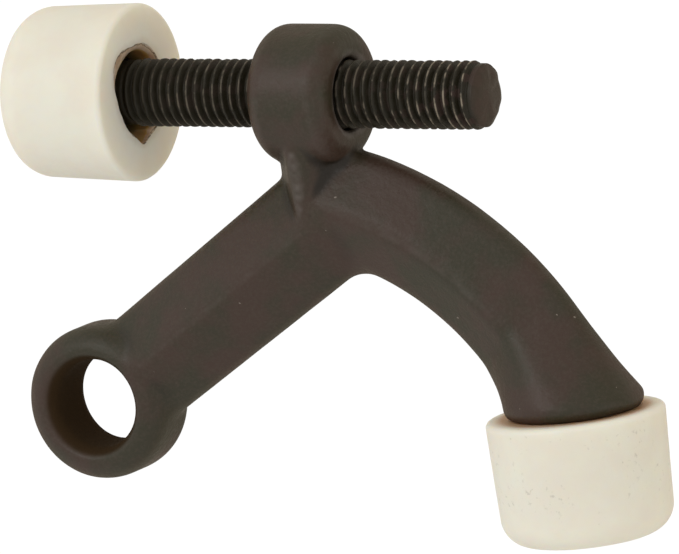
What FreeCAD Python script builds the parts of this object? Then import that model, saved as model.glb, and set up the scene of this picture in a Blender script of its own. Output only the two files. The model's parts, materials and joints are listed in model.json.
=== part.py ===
import FreeCAD, Part
import math
import os
import Sketcher

# Hinge-pin door stop: a bronze-finished casting that hangs on a door's hinge pin, a 1/4-28 adjusting
# screw through its boss and two identical rubber bumpers.
# Origin: centre of the hinge-pin bore at mid-height.  +Z runs up the hinge pin, +X runs along the
# adjusting screw from its bumper to its tip, +Y points from the eye towards the screw.  Millimetres.

Vector = FreeCAD.Vector
Y_AXIS = Vector(0, 1, 0)
Z_AXIS = Vector(0, 0, 1)
ORIGIN = Vector(0, 0, 0)
TOUCHING = 0.01  # mm within which two places count as the same
ON_WALL = 0.5  # mm within which the middle of an edge counts as lying on a wall

document = FreeCAD.newDocument("door_stop")

# ---------------------------------------------------------------- driving dimensions

DIMENSIONS = [
    # hinge-pin eye
    ("pin_bore_radius", 4.35, "hinge-pin bore, 8.7 mm across"),
    ("pin_bore_round", 0.5, "rounded edge at both mouths of the bore"),
    ("eye_outer_radius", 7.15, "outside of the eye"),
    ("eye_height", 7.3, "eye along the hinge pin"),
    ("eye_outer_round", 2.2, "rounding of the eye's outer edges"),
    # section shared by leg and arm: a rhomb with rounded corners
    ("side_round", 1.8, "rounding of the section's side corners"),
    ("ridge_round", 2.0, "rounding of the section's ridges"),
    # leg
    ("leg_angle", 35.3, "degrees from +X"),
    ("leg_length", 32.1, "from the bore's centre to the end hidden in the arm"),
    ("leg_eye_half_width", 5.15, "half the leg's width at the bore's centre"),
    ("leg_far_half_width", 5.6, "half the leg's width at its hidden end"),
    ("leg_ridge_height", 3.7, "leg's ridge above mid-height"),
    # arm
    ("arm_centre_across", 18.95, "X of the arm's bend centre"),
    ("arm_centre_along", -11.95, "Y of the arm's bend centre"),
    ("arm_bend_radius", 31.35, "bend radius of the arm's centre line"),
    ("arm_start_angle", 80.0, "degrees, where the arm starts inside the stub"),
    ("flare_start_angle", 38.0, "degrees, where the flare to the foot begins"),
    ("arm_half_width", 5.33, "half the arm's width"),
    ("arm_ridge_height", 3.75, "arm's ridge above mid-height"),
    # foot and the peg that holds the foot bumper
    ("foot_face_across", 47.98, "X of the foot's face centre"),
    ("foot_face_along", -0.12, "Y of the foot's face centre"),
    ("foot_tilt", 3.4, "degrees the foot's axis leans from -Y"),
    ("foot_radius", 6.4, "foot disc"),
    ("foot_thickness", 1.3, "foot disc, flare to face"),
    ("foot_edge_round", 0.9, "rounding of the disc's rim"),
    # boss for the adjusting screw, and the stub that joins it to leg and arm
    ("boss_centre_across", 23.7, "X of the boss's middle"),
    ("screw_line", 28.68, "Y of the adjusting screw's axis"),
    ("boss_length", 8.2, "boss along the screw"),
    ("boss_radius", 6.35, "outside of the boss"),
    ("boss_edge_round", 1.9, "rounding of the boss's edges"),
    ("stub_foot_along", 15.5, "Y where the stub starts inside the leg"),
    ("stub_top_along", 26.0, "Y where the stub ends inside the boss"),
    ("stub_foot_half_width", 3.2, "half the stub's width at its start"),
    ("stub_top_half_width", 4.0, "half the stub's width at its end"),
    ("stub_foot_ridge", 3.3, "stub's ridge height at its start"),
    ("stub_top_ridge", 5.4, "stub's ridge height at its end"),
    ("stub_round", 1.2, "rounding of the stub's corners"),
    # hollow corners of the casting
    ("eye_blend", 2.0, "hollow corner between eye and leg"),
    ("crotch_blend", 2.0, "hollow corner between leg and arm"),
    ("boss_blend", 0.6, "hollow corners around boss and stub"),
    # 1/4-28 thread
    ("inch", 25.4, "millimetres in an inch"),
    ("threads_per_inch", 28, "thread count"),
    ("flank_angle", 30, "degrees between a thread's flank and the plane across the screw"),
    ("thread_nominal_radius", 3.175, "1/4 inch thread"),
    ("screw_crest_radius", 3.15, "adjusting screw over its crests"),
    ("screw_root_radius", 2.6, "adjusting screw at its roots"),
    ("screw_neck_radius", 2.95, "plain neck between thread and bumper"),
    ("screw_thread_start", 5.95, "X where the screw's thread starts, just inside its bumper"),
    ("screw_thread_turns", 37, "turns of thread on the screw"),
    ("screw_tip_length", 1.34, "tip beyond the thread, half a pitch of run-out included"),
    ("screw_tip_plain_radius", 2.88, "plain end beyond the thread"),
    ("screw_tip_cone", 0.29, "shallow cone that ends the screw"),
    ("screw_tip_radius", 2.1, "flat at the very tip"),
    ("boss_crest_radius", 2.74, "bore of the boss over its thread"),
    ("boss_root_radius", 3.24, "bore of the boss at its thread's roots and mouths"),
    ("boss_thread_turns", 5, "turns of thread in the boss"),
    ("boss_thread_skip", 16.5, "pitches from the screw's first root to the boss's first root"),
    ("boss_mouth_depth", 0.35, "45-degree countersink at both mouths of the boss"),
    ("thread_axial_clearance", 0.06, "play on each flank, along the screw"),
    # rubber bumpers
    ("bumper_length", 11.56, "bumper along its axis"),
    ("bumper_mouth_radius", 8.18, "outside at the mouth end"),
    ("bumper_end_radius", 7.88, "outside at the striking end"),
    ("bumper_end_round", 2.66, "rounding of the striking end"),
    ("bumper_mouth_round", 0.42, "rounding of the mouth end"),
    ("bumper_hole_radius", 4.4, "hole in the bumper's lip"),
    ("bumper_lip", 3.0, "thickness of the lip behind the mouth"),
    ("bumper_pocket_radius", 5.3, "pocket behind the lip"),
    ("bumper_pocket_depth", 4.0, "pocket along the axis"),
    ("screw_bumper_face", 6.0, "X of the screw bumper's mouth face"),
    ("button_clearance", 0.08, "play between a button head and the rubber around it"),
    ("button_edge_chamfer", 0.8, "chamfer of a button head's rims"),
]

sheet = document.addObject("Spreadsheet::Sheet", "dims")
for row, (alias, value, meaning) in enumerate(DIMENSIONS, start=1):
    sheet.set(f"A{row}", meaning)
    sheet.set(f"B{row}", str(value))
    sheet.setAlias(f"B{row}", alias)
document.recompute()


def dim(alias):
    return float(getattr(sheet, alias))


# ---------------------------------------------------------------- helpers for bodies and sketches


def new_body(label):
    body = document.addObject("PartDesign::Body", label)
    body.Label = label
    return body


def origin_plane(body, role):
    return next(item for item in body.Origin.OriginFeatures if item.Role == role)


def turned_about(axis):
    """Placement with a rotation axis of its own, whose angle an expression then sets."""
    any_angle = 10
    return FreeCAD.Placement(ORIGIN, FreeCAD.Rotation(axis, any_angle))


def new_sketch(body, name, role="XZ_Plane", turn=None, across=None, along=None):
    """Sketch on an origin plane, moved to (across, along) in X and Y and turned about +Z."""
    sketch = body.newObject("Sketcher::SketchObject", name)
    sketch.AttachmentSupport = (origin_plane(body, role), [""])
    sketch.MapMode = "FlatFace"
    if turn:
        sketch.AttachmentOffset = turned_about(Y_AXIS)
        sketch.setExpression(".AttachmentOffset.Rotation.Angle", turn)
    if across:
        sketch.setExpression(".AttachmentOffset.Base.x", across)
    if along:
        sketch.setExpression(".AttachmentOffset.Base.z", f"-({along})")
    return sketch


def constrain(sketch, kind, *args, bound_to=None):
    """Adds a constraint; a dimension is bound to an expression over the sheet."""
    index = sketch.addConstraint(Sketcher.Constraint(kind, *args))
    if bound_to:
        sketch.setExpression(f"Constraints[{index}]", bound_to)
    return index


START, END, CENTRE = 1, 2, 3
SKETCH_ORIGIN = -1


def place_point(sketch, item, point, across, along):
    """Pins one point of a sketch item; `across` and `along` are (value, expression) pairs."""
    constrain(sketch, "DistanceX", SKETCH_ORIGIN, START, item, point, across[0], bound_to=across[1])
    constrain(sketch, "DistanceY", SKETCH_ORIGIN, START, item, point, along[0], bound_to=along[1])


def draw_rhomb(sketch, half_width, ridge, side_round, ridge_round, centre="0"):
    """Rounded rhomb: side corners at +-half_width, ridges at +-ridge, about x = centre."""
    texts = (half_width, ridge, side_round, ridge_round, centre)
    side, top, side_radius, top_radius, middle = [float(sketch.evalExpression(text)) for text in texts]
    reach, rise = side - side_radius, top - top_radius
    lean = math.acos((top_radius - side_radius) / math.hypot(reach, rise)) - math.atan2(rise, reach)
    corners = [
        (reach, 0, side_radius, -lean, lean),
        (0, rise, top_radius, lean, math.pi - lean),
        (-reach, 0, side_radius, math.pi - lean, math.pi + lean),
        (0, -rise, top_radius, math.pi + lean, 2 * math.pi - lean),
    ]

    def on_arc(corner, angle):
        x, y, radius = corner[:3]
        return Vector(middle + x + radius * math.cos(angle), y + radius * math.sin(angle), 0)

    arcs, lines = [], []
    for x, y, radius, first, last in corners:
        circle = Part.Circle(Vector(middle + x, y, 0), Z_AXIS, radius)
        arcs.append(sketch.addGeometry(Part.ArcOfCircle(circle, first, last), False))
    for here, after in zip(corners, corners[1:] + corners[:1]):
        facing = here[-1]
        side_line = Part.LineSegment(on_arc(here, facing), on_arc(after, facing))
        lines.append(sketch.addGeometry(side_line, False))
    for number, line in enumerate(lines):
        constrain(sketch, "Tangent", arcs[number], END, line, START)
        constrain(sketch, "Tangent", line, END, arcs[(number + 1) % len(arcs)], START)

    side_reach = f"({half_width} - {side_round})"
    ridge_rise = f"({ridge} - {ridge_round})"
    bindings = [
        (side_round, f"{centre} + {side_reach}", None),
        (ridge_round, centre, ridge_rise),
        (side_round, f"{centre} - {side_reach}", None),
        (ridge_round, centre, f"-1 * {ridge_rise}"),
    ]
    for arc, (x, y, radius, _, _), (radius_text, x_text, y_text) in zip(arcs, corners, bindings):
        constrain(sketch, "Radius", arc, radius, bound_to=radius_text)
        place_point(sketch, arc, CENTRE, (middle + x, x_text), (y, y_text))


def draw_round(sketch, radius):
    size = float(sketch.evalExpression(radius))
    circle = sketch.addGeometry(Part.Circle(ORIGIN, Z_AXIS, size), False)
    constrain(sketch, "Coincident", circle, CENTRE, SKETCH_ORIGIN, START)
    constrain(sketch, "Radius", circle, size, bound_to=radius)


def draw_outline(sketch, corners):
    """Closed outline of straight lines; every corner is an (x expression, y expression) pair."""
    points = []
    for across, along in corners:
        points.append(Vector(sketch.evalExpression(across), sketch.evalExpression(along), 0))
    lines = []
    for here, after in zip(points, points[1:] + points[:1]):
        lines.append(sketch.addGeometry(Part.LineSegment(here, after), False))
    for number, line in enumerate(lines):
        constrain(sketch, "Coincident", line, END, lines[(number + 1) % len(lines)], START)
    for line, point, (across, along) in zip(lines, points, corners):
        place_point(sketch, line, START, (point.x, across), (point.y, along))


def revolve(body, sketch, name, angle=None, axis="V_Axis", kind="PartDesign::Revolution"):
    feature = body.newObject(kind, name)
    feature.Profile = sketch
    feature.ReferenceAxis = (sketch, [axis])
    feature.Angle = 360
    if angle:
        feature.setExpression("Angle", angle)
    return feature


def loft(body, first, others, name):
    feature = body.newObject("PartDesign::AdditiveLoft", name)
    feature.Profile = first
    feature.Sections = others
    return feature


def round_edges(body, name, radius, wanted):
    """Fillet on every edge of the body's latest feature that `wanted` accepts."""
    document.recompute()
    base = body.Tip
    names = [f"Edge{n}" for n, edge in enumerate(base.Shape.Edges, start=1) if wanted(edge)]
    feature = body.newObject("PartDesign::Fillet", name)
    feature.Base = (base, names)
    feature.setExpression("Radius", radius)
    document.recompute()
    return feature


# ---------------------------------------------------------------- threads


def thread_pitch():
    return dim("inch") / dim("threads_per_inch")


def thread_half_width(radius, clearance=0.0):
    """Half the axial width of the screw's ridge where it has this radius, plus play on one flank."""
    crest_half_width = thread_pitch() / 16
    depth_below_nominal = dim("thread_nominal_radius") - radius
    flank_slope = math.tan(math.radians(dim("flank_angle")))
    return crest_half_width + depth_below_nominal * flank_slope + clearance


def threaded_solid(outer, inner, half_ridge_outer, half_ridge_inner, turns, ends_outside, near, far):
    """Right-hand screw thread along +Z, sewn from exact helical strips.

    The ridge is half_ridge_outer wide (half) at the radius `outer` and half_ridge_inner at `inner`.
    The thread fills heights 0 to (turns + 1) pitches and starts in the middle of a land: of the outer
    radius if ends_outside, else of the inner.  Plain cylinders of that radius go on for half a pitch
    at both ends; from there `near` and `far` list (radius, height) corners down to the axis, with
    heights counted outwards.
    """
    pitch = thread_pitch()
    top = (turns + 1) * pitch
    if ends_outside:
        start, middle = outer, inner
        half_start, half_middle = half_ridge_outer, pitch / 2 - half_ridge_inner
    else:
        start, middle = inner, outer
        half_start, half_middle = pitch / 2 - half_ridge_inner, half_ridge_outer
    profile = [
        (start, 0),
        (start, half_start),
        (middle, pitch / 2 - half_middle),
        (middle, pitch / 2 + half_middle),
        (start, pitch - half_start),
        (start, pitch),
    ]

    halves = (0, 180)

    def helix(radius, base, angle):
        """Half a turn of helix that starts at an angle; `base` is its height at angle 0."""
        edge = Part.makeHelix(pitch, pitch / 2, radius).Edges[0].copy()
        edge.rotate(ORIGIN, Z_AXIS, angle)
        edge.translate(Vector(0, 0, base + pitch * angle / 360))
        return edge

    def half_circle(height, angle):
        circle = Part.Circle(Vector(0, 0, height), Z_AXIS, start)
        return circle.toShape(math.radians(angle), math.radians(angle + 180))

    faces = []
    for turn in range(turns):
        for (radius_a, base_a), (radius_b, base_b) in zip(profile, profile[1:]):
            for angle in halves:
                lower = helix(radius_a, base_a + turn * pitch, angle)
                upper = helix(radius_b, base_b + turn * pitch, angle)
                faces.append(Part.makeRuledSurface(lower, upper))
    for base in (0, turns * pitch):
        corners = [Vector(radius, 0, height + base) for radius, height in profile[1:-1]]
        faces.append(Part.Face(Part.makePolygon(corners + corners[:1])))
    for angle in halves:
        first, last = helix(start, 0, angle), helix(start, turns * pitch, angle)
        faces.append(Part.makeRuledSurface(half_circle(-pitch / 2, angle), first))
        faces.append(Part.makeRuledSurface(last, half_circle(top + pitch / 2, angle)))
    for outwards, base, corners in ((-1, -pitch / 2, near), (1, top + pitch / 2, far)):
        points = [Vector(start, 0, base)]
        points += [Vector(radius, 0, base + outwards * height) for radius, height in corners]
        for here, after in zip(points, points[1:]):
            for angle in halves:
                line = Part.makeLine(here, after)
                line.rotate(ORIGIN, Z_AXIS, angle)
                faces.append(line.revolve(ORIGIN, Z_AXIS, 180))
    shell = Part.makeShell(faces)
    shell.sewShape()
    solid = Part.makeSolid(shell)
    if solid.Volume < 0:
        solid.reverse()
    return solid


def along_screw(shape_feature, across):
    """Lays a shape made along +Z onto the adjusting screw's axis, its height 0 at X = across."""
    turned = FreeCAD.Rotation(Y_AXIS, 90)
    shape_feature.Placement = FreeCAD.Placement(Vector(across, dim("screw_line"), 0), turned)


# ---------------------------------------------------------------- casting


def add_eye(body):
    """Round eye for the hinge pin; the bore is cut after leg and arm are on."""
    sketch = new_sketch(body, "eye_profile")
    draw_outline(
        sketch,
        [
            ("0", "-dims.eye_height / 2"),
            ("dims.eye_outer_radius", "-dims.eye_height / 2"),
            ("dims.eye_outer_radius", "dims.eye_height / 2"),
            ("0", "dims.eye_height / 2"),
        ],
    )
    revolve(body, sketch, "eye_disc")
    round_edges(body, "eye_rounding", "dims.eye_outer_round", at_eye_rim)


def add_leg(body):
    """Straight leg of rounded rhomb section from the eye to the foot of the boss."""
    sections = []
    for end in ("eye", "far"):
        section = new_sketch(body, f"leg_{end}_section", role="YZ_Plane", turn="dims.leg_angle")
        half_width = f"dims.leg_{end}_half_width"
        draw_rhomb(section, half_width, "dims.leg_ridge_height", "dims.side_round", "dims.ridge_round")
        sections.append(section)
    far = sections[-1]
    far.setExpression(".AttachmentOffset.Base.x", "dims.leg_length * sin(dims.leg_angle * 1 deg)")
    far.setExpression(".AttachmentOffset.Base.z", "dims.leg_length * cos(dims.leg_angle * 1 deg)")
    loft(body, sections[0], sections[1:], "leg")


def arm_section(body, name, angle):
    """The arm's section at an angle of its bend, drawn at the bend's radius from its centre."""
    sketch = new_sketch(
        body, name, turn=angle, across="dims.arm_centre_across", along="dims.arm_centre_along"
    )
    draw_rhomb(
        sketch,
        "dims.arm_half_width",
        "dims.arm_ridge_height",
        "dims.side_round",
        "dims.ridge_round",
        centre="dims.arm_bend_radius",
    )
    return sketch


def add_arm(body):
    """Curved arm, then the flare from its rhomb section to the round foot."""
    bend = arm_section(body, "arm_bend_section", "dims.flare_start_angle")
    revolve(body, bend, "arm", angle="dims.arm_start_angle - dims.flare_start_angle")
    flare_start = arm_section(body, "flare_start", "dims.flare_start_angle")
    flare_end = new_sketch(
        body,
        "flare_end",
        turn="dims.foot_tilt",
        across="dims.foot_face_across - dims.foot_thickness * sin(dims.foot_tilt * 1 deg)",
        along="dims.foot_face_along + dims.foot_thickness * cos(dims.foot_tilt * 1 deg)",
    )
    draw_round(flare_end, "dims.foot_radius")
    loft(body, flare_start, [flare_end], "flare")


def foot_sketch(body, name):
    """Sketch through the foot's axis: x across the foot, y along its axis towards the bumper."""
    sketch = body.newObject("Sketcher::SketchObject", name)
    sketch.AttachmentSupport = (origin_plane(body, "XY_Plane"), [""])
    sketch.MapMode = "FlatFace"
    sketch.AttachmentOffset = turned_about(Z_AXIS)
    sketch.setExpression(".AttachmentOffset.Rotation.Angle", "180 + dims.foot_tilt")
    sketch.setExpression(".AttachmentOffset.Base.x", "dims.foot_face_across")
    sketch.setExpression(".AttachmentOffset.Base.y", "dims.foot_face_along")
    return sketch


def add_foot(body):
    """Foot disc with a rounded rim, and the button-headed peg that holds the foot bumper."""
    disc = foot_sketch(body, "foot_profile")
    draw_outline(
        disc,
        [
            ("0", "-dims.foot_thickness"),
            ("dims.foot_radius", "-dims.foot_thickness"),
            ("dims.foot_radius", "0"),
            ("0", "0"),
        ],
    )
    revolve(body, disc, "foot_disc")
    round_edges(body, "foot_rounding", "dims.foot_edge_round", at_foot_rim)
    peg = foot_sketch(body, "peg_profile")
    neck = "dims.bumper_hole_radius - dims.button_clearance"
    head = "dims.bumper_pocket_radius - dims.button_clearance"
    under_head = "dims.bumper_lip + dims.button_clearance"
    head_end = "dims.bumper_lip + dims.bumper_pocket_depth - dims.button_clearance"
    draw_outline(
        peg,
        [
            ("0", "-dims.foot_thickness / 2"),
            (neck, "-dims.foot_thickness / 2"),
            (neck, under_head),
            (head, under_head),
            (head, f"{head_end} - dims.button_edge_chamfer"),
            (f"{head} - dims.button_edge_chamfer", head_end),
            ("0", head_end),
        ],
    )
    revolve(body, peg, "peg")


def add_stub(body):
    """Ridged stub that joins leg and arm to the boss above them."""
    sections = []
    for end in ("foot", "top"):
        section = new_sketch(
            body, f"stub_{end}", across="dims.boss_centre_across", along=f"dims.stub_{end}_along"
        )
        half_width, ridge = f"dims.stub_{end}_half_width", f"dims.stub_{end}_ridge"
        draw_rhomb(section, half_width, ridge, "dims.stub_round", "dims.stub_round")
        sections.append(section)
    loft(body, sections[0], sections[1:], "stub")


def boss_barrel():
    """Boss barrel along the screw with rounded rims, as its own primitive."""
    barrel = document.addObject("Part::Cylinder", "boss_barrel")
    barrel.setExpression("Radius", "dims.boss_radius")
    barrel.setExpression("Height", "dims.boss_length")
    barrel.setExpression(".Placement.Base.x", "dims.boss_centre_across - dims.boss_length / 2")
    barrel.setExpression(".Placement.Base.y", "dims.screw_line")
    barrel.Placement.Rotation = FreeCAD.Rotation(Y_AXIS, 90)
    return part_fillet(barrel, "boss_rounded", "boss_edge_round", is_circle)


def part_fillet(base, name, radius, wanted):
    """Fillet of one radius on every edge of a document object that `wanted` accepts."""
    document.recompute()
    size = dim(radius)
    fillet = document.addObject("Part::Fillet", name)
    fillet.Base = base
    numbered = enumerate(base.Shape.Edges, start=1)
    fillet.Edges = [(number, size, size) for number, edge in numbered if wanted(edge)]
    document.recompute()
    return fillet


def is_circle(edge):
    return isinstance(edge.Curve, Part.Circle)


def at_eye_rim(edge):
    return is_circle(edge) and abs(edge.Curve.Radius - dim("eye_outer_radius")) < TOUCHING


def at_bore_mouth(edge):
    return is_circle(edge) and abs(edge.Curve.Radius - dim("pin_bore_radius")) < TOUCHING


def at_foot_rim(edge):
    """The foot disc's rim in the plane that the foot bumper rests on."""
    face_centre = Vector(dim("foot_face_across"), dim("foot_face_along"), 0)
    return is_circle(edge) and (edge.Curve.Center - face_centre).Length < TOUCHING


def middle(edge):
    return edge.valueAt((edge.FirstParameter + edge.LastParameter) / 2)


def at_eye(edge):
    """Where the leg runs out of the eye's round outside."""
    spot = middle(edge)
    off_wall = math.hypot(spot.x, spot.y) - dim("eye_outer_radius")
    return abs(off_wall) < ON_WALL and not is_circle(edge)


def in_crotch(edge):
    """Where the underside of the leg runs into the arm."""
    spot = middle(edge)
    from_bend = math.hypot(spot.x - dim("arm_centre_across"), spot.y - dim("arm_centre_along"))
    under_arm = from_bend < dim("arm_bend_radius") - dim("arm_half_width") / 2
    past_stub = spot.x > dim("boss_centre_across") + dim("stub_foot_half_width") - ON_WALL
    slope = math.radians(dim("leg_angle"))
    leg_end = dim("leg_length") * math.cos(slope) + dim("leg_far_half_width") * math.sin(slope)
    return under_arm and past_stub and spot.x < leg_end and not is_circle(edge)


def around_boss(edge):
    """Where stub and arm run into the round outside of the boss."""
    spot = middle(edge)
    off_wall = math.hypot(spot.y - dim("screw_line"), spot.z) - dim("boss_radius")
    return abs(off_wall) < ON_WALL and not is_circle(edge)


def cast_body():
    """The finished casting: body and boss joined, hollow corners blended, bore and thread cut."""
    joined = document.addObject("Part::Fuse", "casting_joined")
    joined.Base = casting_blank()
    joined.Tool = boss_barrel()
    blended = part_fillet(joined, "eye_blended", "eye_blend", at_eye)
    blended = part_fillet(blended, "crotch_blended", "crotch_blend", in_crotch)
    blended = part_fillet(blended, "boss_blended", "boss_blend", around_boss)

    bore = document.addObject("Part::Cylinder", "pin_bore")
    bore.setExpression("Radius", "dims.pin_bore_radius")
    bore.setExpression("Height", "dims.eye_height * 2")
    bore.setExpression(".Placement.Base.z", "-dims.eye_height")
    bored = document.addObject("Part::Cut", "casting_bored")
    bored.Base = blended
    bored.Tool = bore
    rounded = part_fillet(bored, "bore_mouths", "pin_bore_round", at_bore_mouth)

    tapped = document.addObject("Part::Cut", "casting")
    tapped.Base = rounded
    tapped.Tool = boss_tap()
    document.recompute()
    return tapped


def casting_blank():
    blank = new_body("casting_blank")
    add_eye(blank)
    add_leg(blank)
    add_arm(blank)
    add_foot(blank)
    add_stub(blank)
    return blank


def threaded_feature(name, shape, across):
    feature = document.addObject("Part::Feature", name)
    feature.Label = name
    feature.Shape = shape
    along_screw(feature, across)
    return feature


def boss_tap():
    """The space that the boss's thread leaves free: an oversize screw with countersunk mouths."""
    pitch = thread_pitch()
    outer, inner = dim("boss_root_radius"), dim("boss_crest_radius")
    play = dim("thread_axial_clearance")
    turns = int(dim("boss_thread_turns"))
    across = dim("screw_thread_start") + dim("boss_thread_skip") * pitch
    plain_ends = (across - pitch / 2, across + (turns + 1.5) * pitch)
    mouths = []
    for side, plain_end in zip((-1, 1), plain_ends):
        boss_face = dim("boss_centre_across") + side * dim("boss_length") / 2
        face_height = side * (boss_face - plain_end)
        flare = dim("boss_mouth_depth")
        reach = dim("boss_edge_round")
        beyond = face_height + reach
        mouths.append([(outer, face_height - flare), (outer + flare + reach, beyond), (0, beyond)])
    near, far = mouths
    solid = threaded_solid(
        outer,
        inner,
        thread_half_width(outer, play),
        thread_half_width(inner, play),
        turns,
        True,
        near,
        far,
    )
    return threaded_feature("boss_tap", solid, across)


# ---------------------------------------------------------------- adjusting screw


def adjusting_screw():
    """Threaded rod with a short plain tip, and a neck and button head inside its bumper."""
    pitch = thread_pitch()
    root, crest, neck = dim("screw_root_radius"), dim("screw_crest_radius"), dim("screw_neck_radius")
    play = dim("button_clearance")
    neck_end = dim("screw_thread_start") - pitch / 2 - dim("screw_bumper_face")
    under_head = neck_end + dim("bumper_lip") + play
    head_end = neck_end + dim("bumper_lip") + dim("bumper_pocket_depth") - play
    head = dim("bumper_pocket_radius") - play
    rim = dim("button_edge_chamfer")
    near = [
        (neck, 0),
        (neck, under_head),
        (head, under_head),
        (head, head_end - rim),
        (head - rim, head_end),
        (0, head_end),
    ]
    tip_end = dim("screw_tip_length") - pitch / 2
    plain = dim("screw_tip_plain_radius")
    far = [
        (plain, 0),
        (plain, tip_end - dim("screw_tip_cone")),
        (dim("screw_tip_radius"), tip_end),
        (0, tip_end),
    ]
    solid = threaded_solid(
        crest,
        root,
        thread_half_width(crest),
        thread_half_width(root),
        int(dim("screw_thread_turns")),
        False,
        near,
        far,
    )
    return threaded_feature("adjusting_screw", solid, dim("screw_thread_start"))


# ---------------------------------------------------------------- rubber bumpers


def bumper(label):
    """Drafted rubber cap along +X of its own frame: mouth face at 0, striking end on the minus side."""
    body = new_body(label)
    sketch = body.newObject("Sketcher::SketchObject", f"{label}_outline")
    sketch.AttachmentSupport = (origin_plane(body, "XY_Plane"), [""])
    sketch.MapMode = "FlatFace"
    draw_outline(
        sketch,
        [
            ("0", "dims.bumper_hole_radius"),
            ("0", "dims.bumper_mouth_radius"),
            ("-dims.bumper_length", "dims.bumper_end_radius"),
            ("-dims.bumper_length", "0"),
            ("-dims.bumper_lip - dims.bumper_pocket_depth", "0"),
            ("-dims.bumper_lip - dims.bumper_pocket_depth", "dims.bumper_pocket_radius"),
            ("-dims.bumper_lip", "dims.bumper_pocket_radius"),
            ("-dims.bumper_lip", "dims.bumper_hole_radius"),
        ],
    )
    revolve(body, sketch, f"{label}_cap", axis="H_Axis")
    round_edges(body, f"{label}_end_round", "dims.bumper_end_round", at_striking_rim)
    round_edges(body, f"{label}_mouth_round", "dims.bumper_mouth_round", at_mouth_rim)
    return body


def at_striking_rim(edge):
    return is_circle(edge) and abs(edge.Curve.Radius - dim("bumper_end_radius")) < TOUCHING


def at_mouth_rim(edge):
    return is_circle(edge) and abs(edge.Curve.Radius - dim("bumper_mouth_radius")) < TOUCHING


# ---------------------------------------------------------------- assembly

casting = cast_body()
screw = adjusting_screw()
screw_bumper = bumper("screw_bumper")
screw_bumper.setExpression(".Placement.Base.x", "dims.screw_bumper_face")
screw_bumper.setExpression(".Placement.Base.y", "dims.screw_line")
foot_bumper = bumper("foot_bumper")
foot_bumper.Placement.Rotation = FreeCAD.Rotation(Z_AXIS, 90)
foot_bumper.setExpression(".Placement.Rotation.Angle", "90 + dims.foot_tilt")
foot_bumper.setExpression(".Placement.Base.x", "dims.foot_face_across")
foot_bumper.setExpression(".Placement.Base.y", "dims.foot_face_along")
document.recompute()

# ---------------------------------------------------------------- checks and export

for item in document.Objects:
    if "Invalid" in item.State or "Error" in item.State:
        raise RuntimeError(f"{item.Name} did not recompute: {item.State}")

os.makedirs("parts", exist_ok=True)
for node in (casting, screw, screw_bumper, foot_bumper):
    shape = node.Shape
    if shape.isNull() or not shape.isValid() or len(shape.Solids) != 1:
        raise RuntimeError(f"{node.Label} is not one valid solid")
    shape.exportStep(f"parts/{node.Label}.step")
    print(node.Label, round(shape.Volume, 1), shape.BoundBox)
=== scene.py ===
import json
import math

import bpy
import numpy as np
import openvdb
from mathutils import Matrix, Vector, noise


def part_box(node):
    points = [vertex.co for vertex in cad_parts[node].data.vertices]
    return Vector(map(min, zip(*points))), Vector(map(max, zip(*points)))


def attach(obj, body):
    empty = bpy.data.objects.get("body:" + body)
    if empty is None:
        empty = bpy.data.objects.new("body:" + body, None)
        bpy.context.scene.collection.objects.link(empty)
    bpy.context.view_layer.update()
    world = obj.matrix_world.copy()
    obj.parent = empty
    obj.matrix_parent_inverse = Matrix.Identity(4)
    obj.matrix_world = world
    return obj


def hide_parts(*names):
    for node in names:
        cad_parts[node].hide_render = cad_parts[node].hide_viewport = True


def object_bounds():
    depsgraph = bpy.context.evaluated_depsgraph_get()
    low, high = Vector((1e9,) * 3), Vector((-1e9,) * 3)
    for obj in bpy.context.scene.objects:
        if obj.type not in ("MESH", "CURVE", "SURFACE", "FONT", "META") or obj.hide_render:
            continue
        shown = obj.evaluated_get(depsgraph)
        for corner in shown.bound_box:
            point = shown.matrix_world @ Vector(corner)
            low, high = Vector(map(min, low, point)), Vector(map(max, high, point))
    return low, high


# Looks of a hinge-pin door stop: a softly rounded bronze casting, a black adjusting screw with worn
# crests and two ivory rubber bumpers.  The casting is the CAD casting, softened.  The screw and the
# bumpers are made anew, with their places and outer sizes taken from the frame.  X runs along the
# screw from its bumper to its tip, Z along the hinge pin.  Shapes are worked out in millimetres and
# written to meshes in metres.

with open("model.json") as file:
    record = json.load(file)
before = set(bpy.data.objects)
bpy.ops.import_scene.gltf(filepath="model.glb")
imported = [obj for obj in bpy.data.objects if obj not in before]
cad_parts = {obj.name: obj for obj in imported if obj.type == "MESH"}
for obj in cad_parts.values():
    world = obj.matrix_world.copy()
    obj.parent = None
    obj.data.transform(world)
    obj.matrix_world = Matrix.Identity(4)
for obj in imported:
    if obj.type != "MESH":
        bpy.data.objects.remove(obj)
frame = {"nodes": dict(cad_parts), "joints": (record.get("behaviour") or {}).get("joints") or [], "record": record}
cad_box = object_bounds()

MM = 0.001
FULL_TURN = 2 * math.pi

mounts = {mount["name"]: mount for mount in frame["record"]["mounts"]}
joints = {joint["name"]: joint for joint in frame["joints"]}
body_of_node = {}
for body_name, members in frame["record"]["behaviour"]["bodies"].items():
    for member in members:
        body_of_node[member] = body_name

SCREW_LINE = joints["screw_turn"]["pos_m"][1] / MM
PIN_RADIUS = mounts["hinge_pin_bore"]["dims"]["r_mm"]
EYE_HALF_LENGTH = mounts["hinge_pin_bore"]["dims"]["length_mm"] / 2


# ---------------------------------------------------------------- reading the frame


def node_points(node):
    """Vertices of a CAD node, in millimetres."""
    mesh = frame["nodes"][node].data
    flat = np.empty(len(mesh.vertices) * 3, np.float32)
    mesh.vertices.foreach_get("co", flat)
    return flat.reshape(-1, 3) / MM


def node_triangles(node):
    """Triangles of a CAD node, as numbers of its vertices."""
    mesh = frame["nodes"][node].data
    mesh.calc_loop_triangles()
    flat = np.empty(len(mesh.loop_triangles) * 3, np.int32)
    mesh.loop_triangles.foreach_get("vertices", flat)
    return flat.reshape(-1, 3).astype(np.uint32)


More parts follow.
